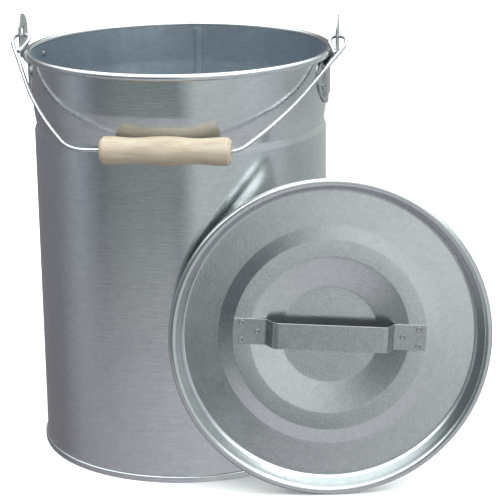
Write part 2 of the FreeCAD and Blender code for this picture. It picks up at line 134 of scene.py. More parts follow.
# Round wire along a flat path: each ring is centred on the path, in the plane of the
# path's normal and of the direction square to the path. Both ends are closed by a fan.
def tubeAlong(path, normal, radius, sides=24):
    path = np.asarray(path, float)
    tangent = np.gradient(path, axis=0)
    tangent /= np.linalg.norm(tangent, axis=1)[:, None]
    side = np.cross(tangent, normal)
    t = np.linspace(0, 2 * np.pi, sides, endpoint=False)
    radius = np.broadcast_to(radius, len(path))[:, None, None]
    ring = np.cos(t)[None, :, None] * side[:, None] + np.sin(t)[None, :, None] * np.asarray(normal)
    points = (path[:, None] + radius * ring).reshape(-1, 3)
    faces = gridFaces(len(path), sides, False, True).tolist()
    firstHub = len(path) * sides
    for row, hub, turn in ((0, firstHub, 1), (len(path) - 1, firstHub + 1, -1)):
        rim = [row * sides + i for i in range(sides)][::turn]
        faces += [[rim[i], rim[i - 1], hub] for i in range(sides)]
    points = np.vstack([points, path[:1], path[-1:]])
    return points, faces


# Turn every face of a closed piece to look outwards.
def outward(piece):
    work = bmesh.new()
    work.from_mesh(piece.data)
    bmesh.ops.remove_doubles(work, verts=work.verts, dist=1e-6)
    bmesh.ops.recalc_face_normals(work, faces=work.faces)
    work.to_mesh(piece.data)
    work.free()
    return piece


# Points of a piece's own frame, moved to where the piece stands.
def placed(points, axes, origin):
    return np.asarray(points) @ np.asarray(axes) + np.asarray(origin)


# Arc in even steps: centre + radius * (cos t, sin t), with t from start to end in degrees.
def sampledArc(centre, radius, start, end, count):
    t = np.radians(np.linspace(start, end, count))
    return np.stack([centre[0] + radius * np.cos(t), centre[1] + radius * np.sin(t)], 1)


can = {
    "sheet": 0.7,
    "wall": 147.5,          # outside radius
    "mouth": 148.6,
    "neck": 145.4,
    "height": 410.0,
    "neckHeight": 336.0,
    "stepHeight": 6.0,
    "flare": 32.0,
    "flareShare": 0.45,      # of the flare's height: where it is fullest
    "flareFullness": 0.5,    # and how far it stands out of a straight cone there
    "bends": (9, 5, 60, 40),  # radii: under the step, over it, in the flare, under the mouth
    "wallFoot": 3.0,         # height at which the wall starts, inside the folded seam
    "wire": 5.7,
    "curlJoin": 0.5,         # the roll starts this far above the straight mouth
    "curlEnd": -60.0,        # degrees: the roll is left open underneath
    "seamWidth": 8.7,
    "seamRound": ((0.0, 0.3), (0.25, 0.95), (0.9, 1.4)),  # in from its edge, height there
    "seamSunk": 0.35,        # its back inside the sheet
    "seamBed": 0.05,
    "seamEnds": (2, 8),      # above the foot's folds, and below the rim
    "segments": 320,
}

foot = {
    "height": 6.1,           # of the folded seam
    "outside": 2.25,         # its outer fold, outside the wall
    "lip": 0.4,              # its inner edge, inside the wall's outside
    "lipHeight": 5.75,
    "gap": 0.05,             # between the folds
    "floorGap": 0.02,
    "underside": 5.7,        # of the base disc, above the floor
    "overside": 6.35,
    "corner": 1.6,           # the disc's upper edge, in from the wall's inside
    "hub": 0.01,             # radius at which the disc's outline starts
    "bends": (1.0, 1.2, 1.3, 1.2, 0.25),
}


# Outside of the wall from near the floor into the mouth: straight runs joined by arcs.
def wallOutline(bottom, top):
    neck = can["neckHeight"]
    fullest = (can["neck"] + can["mouth"]) / 2 + can["flareFullness"]
    corners = [
        (can["wall"], bottom), (can["wall"], neck - can["stepHeight"]), (can["neck"], neck),
        (fullest, neck + can["flare"] * can["flareShare"]),
        (can["mouth"], neck + can["flare"]), (can["mouth"], top),
    ]
    return rounded(corners, can["bends"], 4)


# Wall, neck and rolled rim: the wall's outline and the arc of the roll, given the sheet's
# thickness and turned about the can's axis.
def canShell():
    bead = (can["mouth"] + can["wire"] / 2, can["height"] - can["sheet"] - can["wire"] / 2)
    curl = sampledArc(bead, can["wire"] / 2, 180, can["curlEnd"], 30)
    path = np.vstack([wallOutline(can["wallFoot"], bead[1] - can["curlJoin"]), curl])
    outline = thickened(path, can["sheet"])
    points, faces = revolved(outline, can["segments"])
    return outward(makePiece("canShell", points, faces, "can"))


# Grooved seam inside the back of the wall. Each point of its section is carried up the wall:
# radius = the wall's outside - depth, angle = a right angle + distance across / radius.
def sideSeam():
    above, below = can["seamEnds"]
    outer = wallOutline(foot["height"] + above, can["height"] - below)
    half = can["seamWidth"] / 2
    inwards, lifts = np.array(can["seamRound"]).T
    across = np.concatenate([-half + inwards, half - inwards[::-1]])
    lift = np.concatenate([lifts, lifts[::-1]])
    back = np.full(len(lift), -can["seamSunk"])
    s = np.concatenate([across, across[::-1]])
    depth = np.concatenate([lift, back]) + can["sheet"] - can["seamBed"]
    turn = np.pi / 2 + s[None] / can["wall"]
    r = outer[:, 0][:, None] - depth[None]
    z = outer[:, 1][:, None] + 0 * turn
    points = np.stack([r * np.cos(turn), r * np.sin(turn), z], -1).reshape(-1, 3)
    count = len(s)
    faces = gridFaces(len(outer), count, False, True).tolist()
    faces.append(list(range(count))[::-1])
    faces.append([(len(outer) - 1) * count + i for i in range(count)])
    return outward(makePiece("sideSeam", points, faces, "can", 50))


# Base pan: raised disc, the wall of its recess, and the folded seam round the foot, as one
# outline with rounded corners turned about the can's axis.
def canFoot():
    sheet, top, low = can["sheet"], foot["height"], foot["floorGap"]
    inner = can["wall"] - sheet - foot["gap"]
    skin = can["wall"] + foot["outside"]
    fold = can["wall"] + foot["gap"]
    lip = can["wall"] - foot["lip"]
    corners = [
        (foot["hub"], foot["underside"]), (inner - sheet, foot["underside"]), (inner - sheet, low),
        (skin, low), (skin, top), (fold, top), (fold, top - sheet),
    ]
    outside = rounded(corners, foot["bends"], 10)
    inside = [
        (lip, top - sheet), (lip, foot["lipHeight"]), (inner - foot["corner"], foot["overside"]),
        (foot["hub"], foot["overside"]),
    ]
    outline = np.vstack([outside, inside])
    points, faces = revolved(outline, can["segments"])
    return outward(makePiece("canFoot", points, faces, "can"))


shell = canShell()
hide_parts("can_body")
seam = sideSeam()
basePan = canFoot()
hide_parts("base_pan")
print("can made")


merging = {
    "apart": 2e-6,           # metres: points nearer than this are one
    "flat": 0.3,             # degrees: triangles that lie this close to one plane are one face
    "crease": 30,            # degrees: sharper edges stay sharp
}


# Copy of a CAD part with its loose triangles joined and its round bends shaded smooth.
def mergedCopy(node, name, body):
    piece = bpy.data.objects.new(name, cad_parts[node].data.copy())
    bpy.context.scene.collection.objects.link(piece)
    piece.data.materials.clear()
    work = bmesh.new()
    work.from_mesh(piece.data)
    bmesh.ops.remove_doubles(work, verts=work.verts, dist=merging["apart"])
    bmesh.ops.dissolve_limit(work, angle_limit=math.radians(merging["flat"]), verts=work.verts,
                             edges=work.edges)
    bmesh.ops.recalc_face_normals(work, faces=work.faces)
    work.to_mesh(piece.data)
    work.free()
    piece.data.polygons.foreach_set("use_smooth", np.ones(len(piece.data.polygons), dtype=bool))
    piece.data.set_sharp_from_angle(angle=math.radians(merging["crease"]))
    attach(piece, body)
    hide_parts(node)
    return piece


earPieces = [mergedCopy("ear_left", "earLeft", "can"),
             mergedCopy("ear_right", "earRight", "can")]
print("ears made")


rivets = {
    "earHead": 3.1, "earBore": 1.2,      # radii
    "lidHead": 2.8, "lidBore": 1.5,
    "earSheet": 1.5,
    "thickness": 0.9,        # of each head
    "rollShare": 0.45,       # the head's edge is rounded by this share of its thickness
    "shankShare": 0.62,      # of the head's radius
    "innerCorner": 0.1,      # rounding where the head meets the shank
    "room": 0.05,            # between the sheets, and under each head
    "spread": 32.0,          # from the ear's middle, along the wall
    "drops": (15.0, 34.0),   # below the rim's top
    "dishSink": -0.9,        # the lid's inner rivets pass the start of the dish's slope
    "segments": 32,
}


# Half section of a tubular rivet, as (radius, height): a flat head with a rolled edge at each
# end, a shank between them, and a bore right through.
def rivetOutline(head, bore, low, high):
    thickness, corner = rivets["thickness"], rivets["innerCorner"]
    roll = thickness * rivets["rollShare"]
    shank = head * rivets["shankShare"]
    middle = (low + high) / 2
    corners = [
        (bore, middle), (bore, low - thickness), (head, low - thickness), (head, low),
        (shank, low), (shank, high), (head, high), (head, high + thickness),
        (bore, high + thickness), (bore, middle + 0.01),
    ]
    return rounded(corners, [roll, roll, corner, corner, corner, corner, roll, roll], 20)


# Four rivets square to the wall, on the right (side 0) or the left (side 1): each at angle
# = side's angle + spread / radius, and at its drop below the rim.
def wallRivets(side, name):
    stations = [(sign, drop) for sign in (-1, 1) for drop in rivets["drops"]]
    allPoints, allFaces, count = [], [], 0
    low = can["mouth"] - can["sheet"] - rivets["room"]
    high = can["mouth"] + 2 * rivets["room"] + rivets["earSheet"]
    outline = rivetOutline(rivets["earHead"], rivets["earBore"], low, high)
    points, faces = revolved(outline, rivets["segments"])
    base = side * math.pi
    for sign, drop in stations:
        turn = base + sign * rivets["spread"] / can["mouth"]
        out = np.array([math.cos(turn), math.sin(turn), 0])
        axes = np.array([[-out[1], out[0], 0], [0, 0, 1], out])
        allPoints.append(placed(points, axes, [0, 0, can["height"] - drop]))
        allFaces.append(faces + count)
        count += len(points)
    piece = makePiece(name, np.vstack(allPoints), np.vstack(allFaces), "can")
    return outward(piece)


earRivets = [wallRivets(0, "earRivetsRight"), wallRivets(1, "earRivetsLeft")]
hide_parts("ear_rivets_right")
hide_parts("ear_rivets_left")
print("rivets made")


bail = {
    "wire": 4.0,
    "reach": 180.8,          # hinge to the middle of the grip
    "pivotHeight": 420.3,
    "lugMiddle": 159.75,
    "hookRadius": 8.0,       # half the hook's width
    "hookFlat": 1.5,         # half the straight run through the ear
    "hookLeg": 2.1,          # straight leg after each of the hook's two bends
    "tailDrop": 12.76,       # pivot down to the hook's end, where the bail hangs
    "tailBend": 12.0,        # radius at which that end turns back
    "tailInset": 1.54,       # the hook's end, inward of the lug's middle
    "bow": 390.0,            # radius of the arm's gentle bow
    "straightShare": 0.88,   # of the rest of the arm, before it eases into the hook
    # half the straight run under the grip, radius of the bend after it, and by how many
    # degrees the arm is flatter than its chord at the bend and steeper near the hook
    "left": (68.05, 30.0, 11.3, 4.0),
    "right": (66.05, 20.0, 11.5, 3.1),
    "restAngle": 63.5,       # degrees from hanging straight down
    "runSteps": 12, "bendSteps": 16, "easeSteps": 10, "hookSteps": 14, "tipSteps": 6,
    "sides": 28,
}

grip = {
    "length": 123.5,
    "offset": 8.0,           # to the right of the wire's middle
    "end": 26.4, "waist": 24.4, "middle": 27.8, "bore": 5.2,     # diameters
    "chamfer": 3.2,
    "chamferRound": 1.6,
    "boreRound": 0.5,
    "boreFace": 3,           # flat end face outside the bore
    "endFrom": 0.5,          # shares of half the length: where the end's own width comes in
    "endOver": 0.44,
    "endSink": 0.02,
    "steps": 90, "segments": 96,
}


# Cubic curve from a to d that leaves towards b and arrives from c: the four points, weighted
# by (1-t)^3, 3t(1-t)^2, 3t^2(1-t) and t^3.
def bezier(a, b, c, d, count):
    t = np.linspace(0, 1, count)[:, None]
    return a * (1 - t) ** 3 + 3 * b * t * (1 - t) ** 2 + 3 * c * t * t * (1 - t) + d * t ** 3


# Way from a bend's centre out to the wire, (sin, cos) of the wire's slope there in degrees.
def spoke(angle):
    turn = np.radians(angle)
    return np.stack([np.sin(turn), np.cos(turn)], -1)


# One side of the bail in its plane, as x and distance from the hinge: straight run, bend,
# bowed arm, hook with a flat top, and the hook's slanting end. The arm's chord runs from the
# end of the bend to the hook's outer leg, and settles in a few rounds, since each moves the
# other.
def bailHalf(flatHalf, bendRadius, sagLow, sagHigh):
    reach, hook, pivot = bail["reach"], bail["hookRadius"], bail["lugMiddle"]
    flat = bail["hookFlat"]
    topBend = hook - flat
    legDepth = topBend + bail["hookLeg"]
    tail = bail["tailDrop"] / math.cos(math.radians(bail["restAngle"])) - legDepth
    hub = np.array([flatHalf, reach - bendRadius])
    outerLeg = np.array([pivot + hook, legDepth])
    chord = 60.0
    settlingRounds = 30
    for _ in range(settlingRounds):
        start = hub + spoke(chord - sagLow) * bendRadius
        chord = math.degrees(math.atan2(start[1] - outerLeg[1], outerLeg[0] - start[0]))
    bend, arm = chord - sagLow, chord + sagHigh
    bendAngles = np.linspace(0, bend, bail["bendSteps"])
    bowAngles = np.linspace(bend, arm, bail["bendSteps"])
    first = hub + bendRadius * spoke(bendAngles)
    second = first[-1] + bail["bow"] * (spoke(bowAngles) - spoke(bend))
    way = np.array([math.cos(math.radians(arm)), -math.sin(math.radians(arm))])
    elbow = second[-1] + way * np.linalg.norm(outerLeg - second[-1]) * bail["straightShare"]
    pull = np.linalg.norm(outerLeg - elbow) / 3
    ease = bezier(elbow, elbow + way * pull, outerLeg + [0, pull], outerLeg, bail["easeSteps"])
    right = sampledArc((pivot + flat, topBend), topBend, 0, -90, bail["hookSteps"])
    left = sampledArc((pivot - flat, topBend), topBend, -90, -180, bail["hookSteps"])
    tip = np.array([pivot - bail["tailInset"], legDepth + tail])
    inner = np.array([pivot - hook, legDepth])
    # the end turns until it points at its tip, which then lies on the bend's tangent
    tailBend, runs = bail["tailBend"], bail["runSteps"]
    shift = tip[0] - inner[0] - tailBend
    straight = math.sqrt(shift ** 2 + tail ** 2 - tailBend ** 2)
    turn = math.atan2(tailBend, straight) + math.atan2(shift, tail)
    t = np.linspace(0, turn, bail["easeSteps"])[:, None]
    turned = inner + [tailBend, 0] + tailBend * np.hstack([-np.cos(t), np.sin(t)])
    parts = [
        np.linspace([0, reach], [flatHalf, reach], runs), first[1:], second[1:],
        np.linspace(second[-1], elbow, runs)[1:], ease[1:], right, left, turned,
        np.linspace(turned[-1], tip, bail["tipSteps"])[1:],
    ]
    return np.vstack(parts)


# Where points of the bail's plane, or off it by out, lie while it hangs at the rest angle:
# y = -depth sin a + out cos a, z = hinge height - depth cos a - out sin a.
def hanging(x, depth, out=0.0):
    angle = math.radians(bail["restAngle"])
    y = -depth * math.sin(angle) + out * math.cos(angle)
    z = bail["pivotHeight"] - depth * math.cos(angle) - out * math.sin(angle)
    return np.stack([x + 0 * y, y, z + 0 * x], -1)


# Both sides of the bail, the left one mirrored, as one round wire.
def bailPiece():
    right = bailHalf(*bail["right"])
    left = bailHalf(*bail["left"]) * [-1, 1]
    path = np.vstack([left[::-1], right[1:]])
    angle = math.radians(bail["restAngle"])
    normal = np.array([0, math.cos(angle), -math.sin(angle)])
    line = hanging(path[:, 0], path[:, 1])
    points, faces = tubeAlong(line, normal, bail["wire"] / 2, bail["sides"])
    return outward(makePiece("bailWire", points, faces, "bail", 40))


# Turned grip: the radius is a cosine wave from the middle's to the waist's, blended into the
# end's by the square of the way along. Its chamfers and bore are rounded corners.
def gripPiece():
    half, rim = grip["length"] / 2, grip["end"] / 2
    shoulder, roundings = rim - grip["chamfer"], [grip["chamferRound"]] * 2
    x = np.linspace(-half + grip["chamfer"], half - grip["chamfer"], grip["steps"])
    swell = (grip["middle"] - grip["waist"]) / 4
    base = (grip["middle"] + grip["waist"]) / 4
    wave = base + swell * np.cos(2 * np.pi * x / half)
    ends = np.clip((np.abs(x) / half - grip["endFrom"]) / grip["endOver"], 0, 1)
    r = wave * (1 - ends ** 2) + (rim - grip["endSink"]) * ends ** 2
    bore = grip["bore"] / 2
    body = np.stack([r, x], 1)
    start = rounded([(bore, -half), (shoulder, -half), (r[0], x[0]), body[1]], roundings, 8)
    end = rounded([body[-2], (r[-1], x[-1]), (shoulder, half), (bore, half)], roundings, 8)
    lip = rounded([(bore, 0.0), (bore, half), (bore + grip["boreFace"], half)], [grip["boreRound"]])
    outline = np.vstack([start[:-1], body[2:-2], end[1:-1], lip[::-1][1:-1], [(bore, 0.0)],
                         lip[1:-1] * [1, -1]])
    points, faces = revolved(outline, grip["segments"])
    # it was turned about Z: lay it along the wire
    laid = np.stack([points[:, 2] + grip["offset"], points[:, 0], points[:, 1]], 1)
    placedAt = hanging(laid[:, 0], bail["reach"] + laid[:, 2], laid[:, 1])
    return outward(makePiece("beechGrip", placedAt, faces, "grip", 50))


wire = bailPiece()
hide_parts("bail_wire")
turnedGrip = gripPiece()
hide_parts("bail_grip")
print("bail made")


lid = {
    "radius": 155.4, "curl": 4.1, "depth": 19.2, "sheet": 0.7,
    "curlEnd": -150,         # degrees: where the rolled edge stops
    "wallFoot": 143.4, "wallRound": 2.6, "annulusOuter": 140.8, "annulusRise": 1.6,
    "stepOuter": 107.6, "stepInner": 93.8, "stepRise": 2.2,
    "dish": 76.9, "dishFloor": 47.4, "dishDepth": 4.0,
    "hub": 0.01,             # radius at which the outline starts
    "bends": (14, 14, 4, 4, 2.0, 2.5),   # radii, from the dish's floor out to the wall's foot
    "longestRun": 6,         # straight runs are divided at about this
    "segments": 288,
    "across": (0.9914, 0.1305, 0.0),
    "out": (0.1299, -0.9867, 0.0976),
    "seat": (161.53, -153.77, 155.12),   # middle of the rolled edge's top
}
plateau = -lid["depth"] + lid["annulusRise"] + lid["stepRise"]


# The lid's own directions, made exactly square.
def lidAxes():
    out = np.array(lid["out"]) / np.linalg.norm(lid["out"])
    across = np.array(lid["across"]) - out * (np.array(lid["across"]) @ out)
    across /= np.linalg.norm(across)
    return np.array([across, np.cross(out, across), out])


# Pressed lid: dish, raised ring, annulus, wall and rolled edge as one outline with rounded
# corners, given the sheet's thickness and turned about the lid's axis.
def lidPiece():
    low = -lid["depth"]
    hub = (lid["radius"] - lid["curl"], -lid["curl"])
    corners = [
        (lid["hub"], plateau - lid["dishDepth"]), (lid["dishFloor"], plateau - lid["dishDepth"]),
        (lid["dish"], plateau), (lid["stepInner"], plateau),
        (lid["stepOuter"], low + lid["annulusRise"]), (lid["annulusOuter"], low),
        (lid["wallFoot"], low + lid["wallRound"]), (hub[0] - lid["curl"], hub[1]),
    ]
    path = rounded(corners, lid["bends"], 3)
    spaced = [path[:1]]
    for a, b in zip(path, path[1:]):
        steps = max(1, int(np.linalg.norm(b - a) / lid["longestRun"]))
        spaced.append(np.linspace(a, b, steps + 1)[1:])
    curl = sampledArc(hub, lid["curl"], 180, lid["curlEnd"], 40)
    path = np.vstack(spaced + [curl[1:]])
    outline = thickened(path, -lid["sheet"])
    points, faces = revolved(outline, lid["segments"])
    placedAt = placed(points, lidAxes(), lid["seat"])
    return outward(makePiece("lidPanel", placedAt, faces, "lid"))


strap = {
    "width": 25.2, "thickness": 1.2, "halfLength": 92.9,
    "footEnd": 61.0, "shoulder": 54.0,   # from its middle to the foot of each riser, and its top
    "rise": 16.4,
    "bends": (3.0, 6.0, 6.0, 3.0),
    "edge": 0.25,            # how far the cut edges are eased
    "bed": 0.05,             # gap between the strap and the lid
    "turn": 3.6, "shift": 1.3,           # degrees about the lid's axis, and up the lid
    "rivetFar": 85.8, "rivetNear": 70.3, "rivetSpread": 8.4,
}


# Points of the strap's own frame, turned by its small angle and shifted up the lid.
def turnedOnLid(points):
    t = math.radians(-strap["turn"])
    spin = np.array([[math.cos(t), math.sin(t), 0], [-math.sin(t), math.cos(t), 0], [0, 0, 1]])
    return np.asarray(points) @ spin + [0, strap["shift"], 0]


# Bent strap: the side view of a sheet with two bends at each foot, carried across the
# strap's width. At each cut edge the outline moves towards its own centre line by the edge's
# easing, which rounds the edge off.
def strapPiece():
    low = plateau + strap["bed"]
    high = low + strap["rise"]
    corners = [(-strap["halfLength"], low), (-strap["footEnd"], low), (-strap["shoulder"], high)]
    corners += [(-x, z) for x, z in reversed(corners)]
    path = rounded(corners, strap["bends"], 6)
    outline = thickened(path, strap["thickness"])
    half, edge = strap["width"] / 2, strap["edge"]
    count = len(path)
    middle = thickened(path, strap["thickness"] / 2)[count:][::-1]
    core = np.vstack([middle, middle[::-1]])
    inset = outline + (core - outline) * (2 * edge / strap["thickness"])
    rows = [(inset, -half), (outline, -half + edge), (outline, half - edge), (inset, half)]
    sections = [np.stack([shape[:, 0], np.full(len(shape), v), shape[:, 1]], 1)
                for shape, v in rows]
    points = np.vstack(sections)
    size = len(outline)
    faces = gridFaces(len(rows), size, False, True).tolist()
    for row in (0, len(rows) - 1):
        front = row * size + np.arange(count)
        back = row * size + np.arange(size - 1, count - 1, -1)
        faces += np.stack([front[:-1], front[1:], back[1:], back[:-1]], 1).tolist()
    placedAt = placed(turnedOnLid(points), lidAxes(), lid["seat"])
    return outward(makePiece("lidStrap", placedAt, faces, "lid", 40))


# Three rivets of one foot, square to the lid: two near the strap's end, one nearer the
# middle, whose back head is lower where the dish starts.
def lidRivets(side, name):
    high = plateau + 2 * rivets["room"] + strap["thickness"]
    low = plateau - lid["sheet"] - rivets["room"]
    outline = rivetOutline(rivets["lidHead"], rivets["lidBore"], low, high)
    points, faces = revolved(outline, rivets["segments"])
    far, near, spread = strap["rivetFar"], strap["rivetNear"], strap["rivetSpread"]
    backHead = points[:, 2] < low + 0.01
    allPoints, allFaces = [], []
    for index, (u, v) in enumerate([(far, spread), (far, -spread), (near, 0)]):
        sink = 0.0 if u > lid["dish"] else rivets["dishSink"]
        moved = points.copy()
        moved[backHead, 2] += sink
        allPoints.append(turnedOnLid(moved + [side * u, v, 0]))
        allFaces.append(faces + index * len(points))
    placedAt = placed(np.vstack(allPoints), lidAxes(), lid["seat"])
    return outward(makePiece(name, placedAt, np.vstack(allFaces), "lid"))


panel = lidPiece()
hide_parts("lid_panel")
lidStrap = strapPiece()
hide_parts("lid_handle")
strapRivets = [lidRivets(-1, "lidRivetsLeft"), lidRivets(1, "lidRivetsRight")]
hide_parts("lid_rivets_left")
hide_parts("lid_rivets_right")
print("lid made")


# Add a node; settings are its properties and inputs, links are inputs fed by sockets.
def addNode(tree, kind, settings=None, **links):
    node = tree.nodes.new(kind)
    for key, value in (settings or {}).items():
        if isinstance(key, int) or key in node.inputs:
            node.inputs[key].default_value = value
        else:
            setattr(node, key, value)
    for key, socket in links.items():
        name = key.replace("_", " ")
        target = node.inputs[int(key[5:])] if key.startswith("input") else node.inputs[name]
        tree.links.new(socket, target)
    return node


# Colour ramp from (position, hex colour) pairs, in order of position.
def ramp(tree, factor, stops):
    node = addNode(tree, "ShaderNodeValToRGB", {}, Fac=factor)
    points = node.color_ramp.elements
    points[0].position = stops[0][0]
    points[0].color = linear(stops[0][1])
    points[1].position = stops[-1][0]
    points[1].color = linear(stops[-1][1])
    for position, colour in stops[1:-1]:
        points.new(position).color = linear(colour)
    return node


# Empty node material with one shader.
def newMaterial(name):
    material = bpy.data.materials.new(name)
    material.use_nodes = True
    tree = material.node_tree
    tree.nodes.clear()
    output = tree.nodes.new("ShaderNodeOutputMaterial")
    shader = tree.nodes.new("ShaderNodeBsdfPrincipled")
    tree.links.new(shader.outputs[0], output.inputs[0])
    return material, tree, shader


# Scale of a noise or cell pattern, per metre, from the size of one grain in millimetres.
def perMetre(grainSize):
    return 1000 / grainSize


zinc = {
    "cloudSize": 38,         # mm: slow change of gloss
    "cloudRange": (0.3, 0.7),
    "grainShare": 0.85,      # of the shade; the rest is spangle
    "shadeStops": (0.25, 0.5, 0.75),
    "dentDepth": 0.002,      # metres
    "grainDepth": 0.00012,
}


# Cold-rolled sheet, hot dipped in zinc and skin-passed: satin mirror reflections, broken up by
# the rolling grain and by a faint cloudy spangle. The grain is really some 0.3 mm across and is
# drawn as coarse as it needs to show. A look gives three shades, the range of roughness, sizes
# in mm and strengths; "long" is how many times longer than wide the grain is, on X, Y, Z.
def galvanised(name, look):
    material, tree, shader = newMaterial(name)
    place = addNode(tree, "ShaderNodeTexCoord").outputs["Object"]
    stretch = [1 / long for long in look["long"]]
    rolled = addNode(tree, "ShaderNodeMapping", {"Scale": stretch}, Vector=place)
    fine = addNode(tree, "ShaderNodeTexNoise", {"Scale": perMetre(look["grainSize"]), "Detail": 3.0,
                   "Roughness": 0.7}, Vector=rolled.outputs[0])
    cells = addNode(tree, "ShaderNodeTexVoronoi", {"Scale": perMetre(look["spangle"]),
                    "Randomness": 1.0}, Vector=place)
    cloud = addNode(tree, "ShaderNodeTexNoise", {"Scale": perMetre(zinc["cloudSize"]),
                    "Detail": 4.0, "Roughness": 0.65}, Vector=place)
    shade = addNode(tree, "ShaderNodeMix", {"data_type": "RGBA", 0: zinc["grainShare"]},
                    input6=cells.outputs["Color"], input7=fine.outputs["Color"])
    grey = addNode(tree, "ShaderNodeRGBToBW", {}, Color=shade.outputs[2])
    stops = list(zip(zinc["shadeStops"], look["tint"]))
    colour = ramp(tree, grey.outputs[0], stops)
    tree.links.new(colour.outputs[0], shader.inputs["Base Color"])
    calm, wild = zinc["cloudRange"]
    roughness = addNode(tree, "ShaderNodeMapRange", {"From Min": calm, "From Max": wild,
                        "To Min": look["rough"][0], "To Max": look["rough"][1]},
                        Value=cloud.outputs[0])
    tree.links.new(roughness.outputs[0], shader.inputs["Roughness"])
    swell = addNode(tree, "ShaderNodeTexNoise", {"Scale": perMetre(look["dentSize"]),
                    "Detail": 1.0}, Vector=place)
    slow = addNode(tree, "ShaderNodeBump", {"Strength": look["dents"],
                   "Distance": zinc["dentDepth"]}, Height=swell.outputs[0])
    bump = addNode(tree, "ShaderNodeBump", {"Strength": look["grain"],
                   "Distance": zinc["grainDepth"]}, Height=fine.outputs[0],
                   Normal=slow.outputs[0])
    tree.links.new(bump.outputs[0], shader.inputs["Normal"])
    shader.inputs["Metallic"].default_value = 1.0
    return material


drawnWire = {
    "shades": [(0.3, "#a9acb0"), (0.7, "#d2d4d6")],
    "lumpSize": 3.3,         # mm
    "lumps": 0.12,
    "lumpDepth": 0.0001,     # metres
    "rough": 0.18,
}


# Drawn and galvanised steel wire: near mirror bright, with faint lumps in the zinc.
def brightWire(name):
    material, tree, shader = newMaterial(name)
    place = addNode(tree, "ShaderNodeTexCoord").outputs["Object"]
    mottle = addNode(tree, "ShaderNodeTexNoise", {"Scale": perMetre(drawnWire["lumpSize"]),
                     "Detail": 3.0}, Vector=place)
    colour = ramp(tree, mottle.outputs[0], drawnWire["shades"])
    tree.links.new(colour.outputs[0], shader.inputs["Base Color"])
    bump = addNode(tree, "ShaderNodeBump", {"Strength": drawnWire["lumps"],
                   "Distance": drawnWire["lumpDepth"]}, Height=mottle.outputs[0])
    tree.links.new(bump.outputs[0], shader.inputs["Normal"])
    shader.inputs["Metallic"].default_value = 1.0
    shader.inputs["Roughness"].default_value = drawnWire["rough"]
    return material


wood = {
    "shades": [(0.3, "#a99b86"), (0.5, "#bbad98"), (0.7, "#c6baa7")],
    "bandWidth": 5.0,        # mm
    "bandStretch": (0.12, 1.0, 1.0),     # grain runs along X, so X is drawn out
    "poreWidth": 0.9,
    "poreStretch": (0.16, 1.0, 1.0),
    "poreStops": [(0.3, "#a0a0a0"), (0.44, "#000000")],
    "poreTint": "#c2ab93",
    "pores": 0.3,
    "poreDepth": 0.0002,     # metres
    "rough": 0.6,
    "ior": 1.5,
}


# Turned and sanded beech, unvarnished: pale, straight-grained along the grip, with fine pores
# that look like short dark dashes, and soft growth bands a few millimetres apart.
def beech(name):
    material, tree, shader = newMaterial(name)
    place = addNode(tree, "ShaderNodeTexCoord").outputs["Object"]
    along = addNode(tree, "ShaderNodeMapping", {"Scale": wood["bandStretch"]}, Vector=place)
    bands = addNode(tree, "ShaderNodeTexNoise", {"Scale": perMetre(wood["bandWidth"]),
                    "Detail": 3.0, "Roughness": 0.55}, Vector=along.outputs[0])
    base = ramp(tree, bands.outputs[0], wood["shades"])
    pores = addNode(tree, "ShaderNodeMapping", {"Scale": wood["poreStretch"]}, Vector=place)
    dashes = addNode(tree, "ShaderNodeTexNoise", {"Scale": perMetre(wood["poreWidth"]),
                     "Detail": 2.0, "Roughness": 0.6}, Vector=pores.outputs[0])
    dark = ramp(tree, dashes.outputs[0], wood["poreStops"])
    colour = addNode(tree, "ShaderNodeMix", {"data_type": "RGBA", "blend_type": "MULTIPLY",
                     7: linear(wood["poreTint"])}, input0=dark.outputs[0], input6=base.outputs[0])
    tree.links.new(colour.outputs[2], shader.inputs["Base Color"])
    bump = addNode(tree, "ShaderNodeBump", {"Strength": wood["pores"],
                   "Distance": wood["poreDepth"]}, Height=dashes.outputs[0])
    tree.links.new(bump.outputs[0], shader.inputs["Normal"])
    shader.inputs["Roughness"].default_value = wood["rough"]
    shader.inputs["IOR"].default_value = wood["ior"]
    return material


zincTint = ("#bbbfc1", "#c6cacb", "#d0d4d5")
sheetLook = {"tint": zincTint, "rough": (0.14, 0.22), "grainSize": 1.6, "long": (9, 9, 1),
             "grain": 0.5, "spangle": 5.5, "dentSize": 75.0, "dents": 0.1}
# painted light: the inside wall's bluer tint is raised to stand in for light falling into the can;
# its higher roughness is the sheet's own
insidePaintedLightLook = {"tint": ("#adb7c0", "#bcc6cf", "#cad5dd"), "rough": (0.38, 0.46), "grainSize": 1.6,
              "long": (9, 9, 1), "grain": 0.5, "spangle": 5.5, "dentSize": 75.0, "dents": 0.1}
pressingLook = {"tint": zincTint, "rough": (0.15, 0.22), "grainSize": 2.0, "long": (1, 1, 1),
                "grain": 0.6, "spangle": 5.5, "dentSize": 70.0, "dents": 0.08}
stripLook = {"tint": ("#989b9c", "#afb2b3", "#c6c9ca"), "rough": (0.26, 0.38), "grainSize": 1.8,
             "long": (1, 1, 1), "grain": 0.8, "spangle": 3.0, "dentSize": 33.0, "dents": 0.15}
rivetLook = {"tint": ("#8f9192", "#a0a2a3", "#b2b4b5"), "rough": (0.2, 0.3), "grainSize": 1.2,
             "long": (1, 1, 1), "grain": 0.3, "spangle": 3.0, "dentSize": 17.0, "dents": 0.1}
sheetZinc = galvanised("galvanisedSheet", sheetLook)
insidePaintedLightZinc = galvanised("galvanisedSheetInsidePaintedLight", insidePaintedLightLook)
lidZinc = galvanised("galvanisedPressing", pressingLook)
strapZinc = galvanised("galvanisedStrip", stripLook)
rivetZinc = galvanised("zincPlatedRivet", rivetLook)
wireZinc = brightWire("brightDrawnWire")
beechWood = beech("turnedBeech")


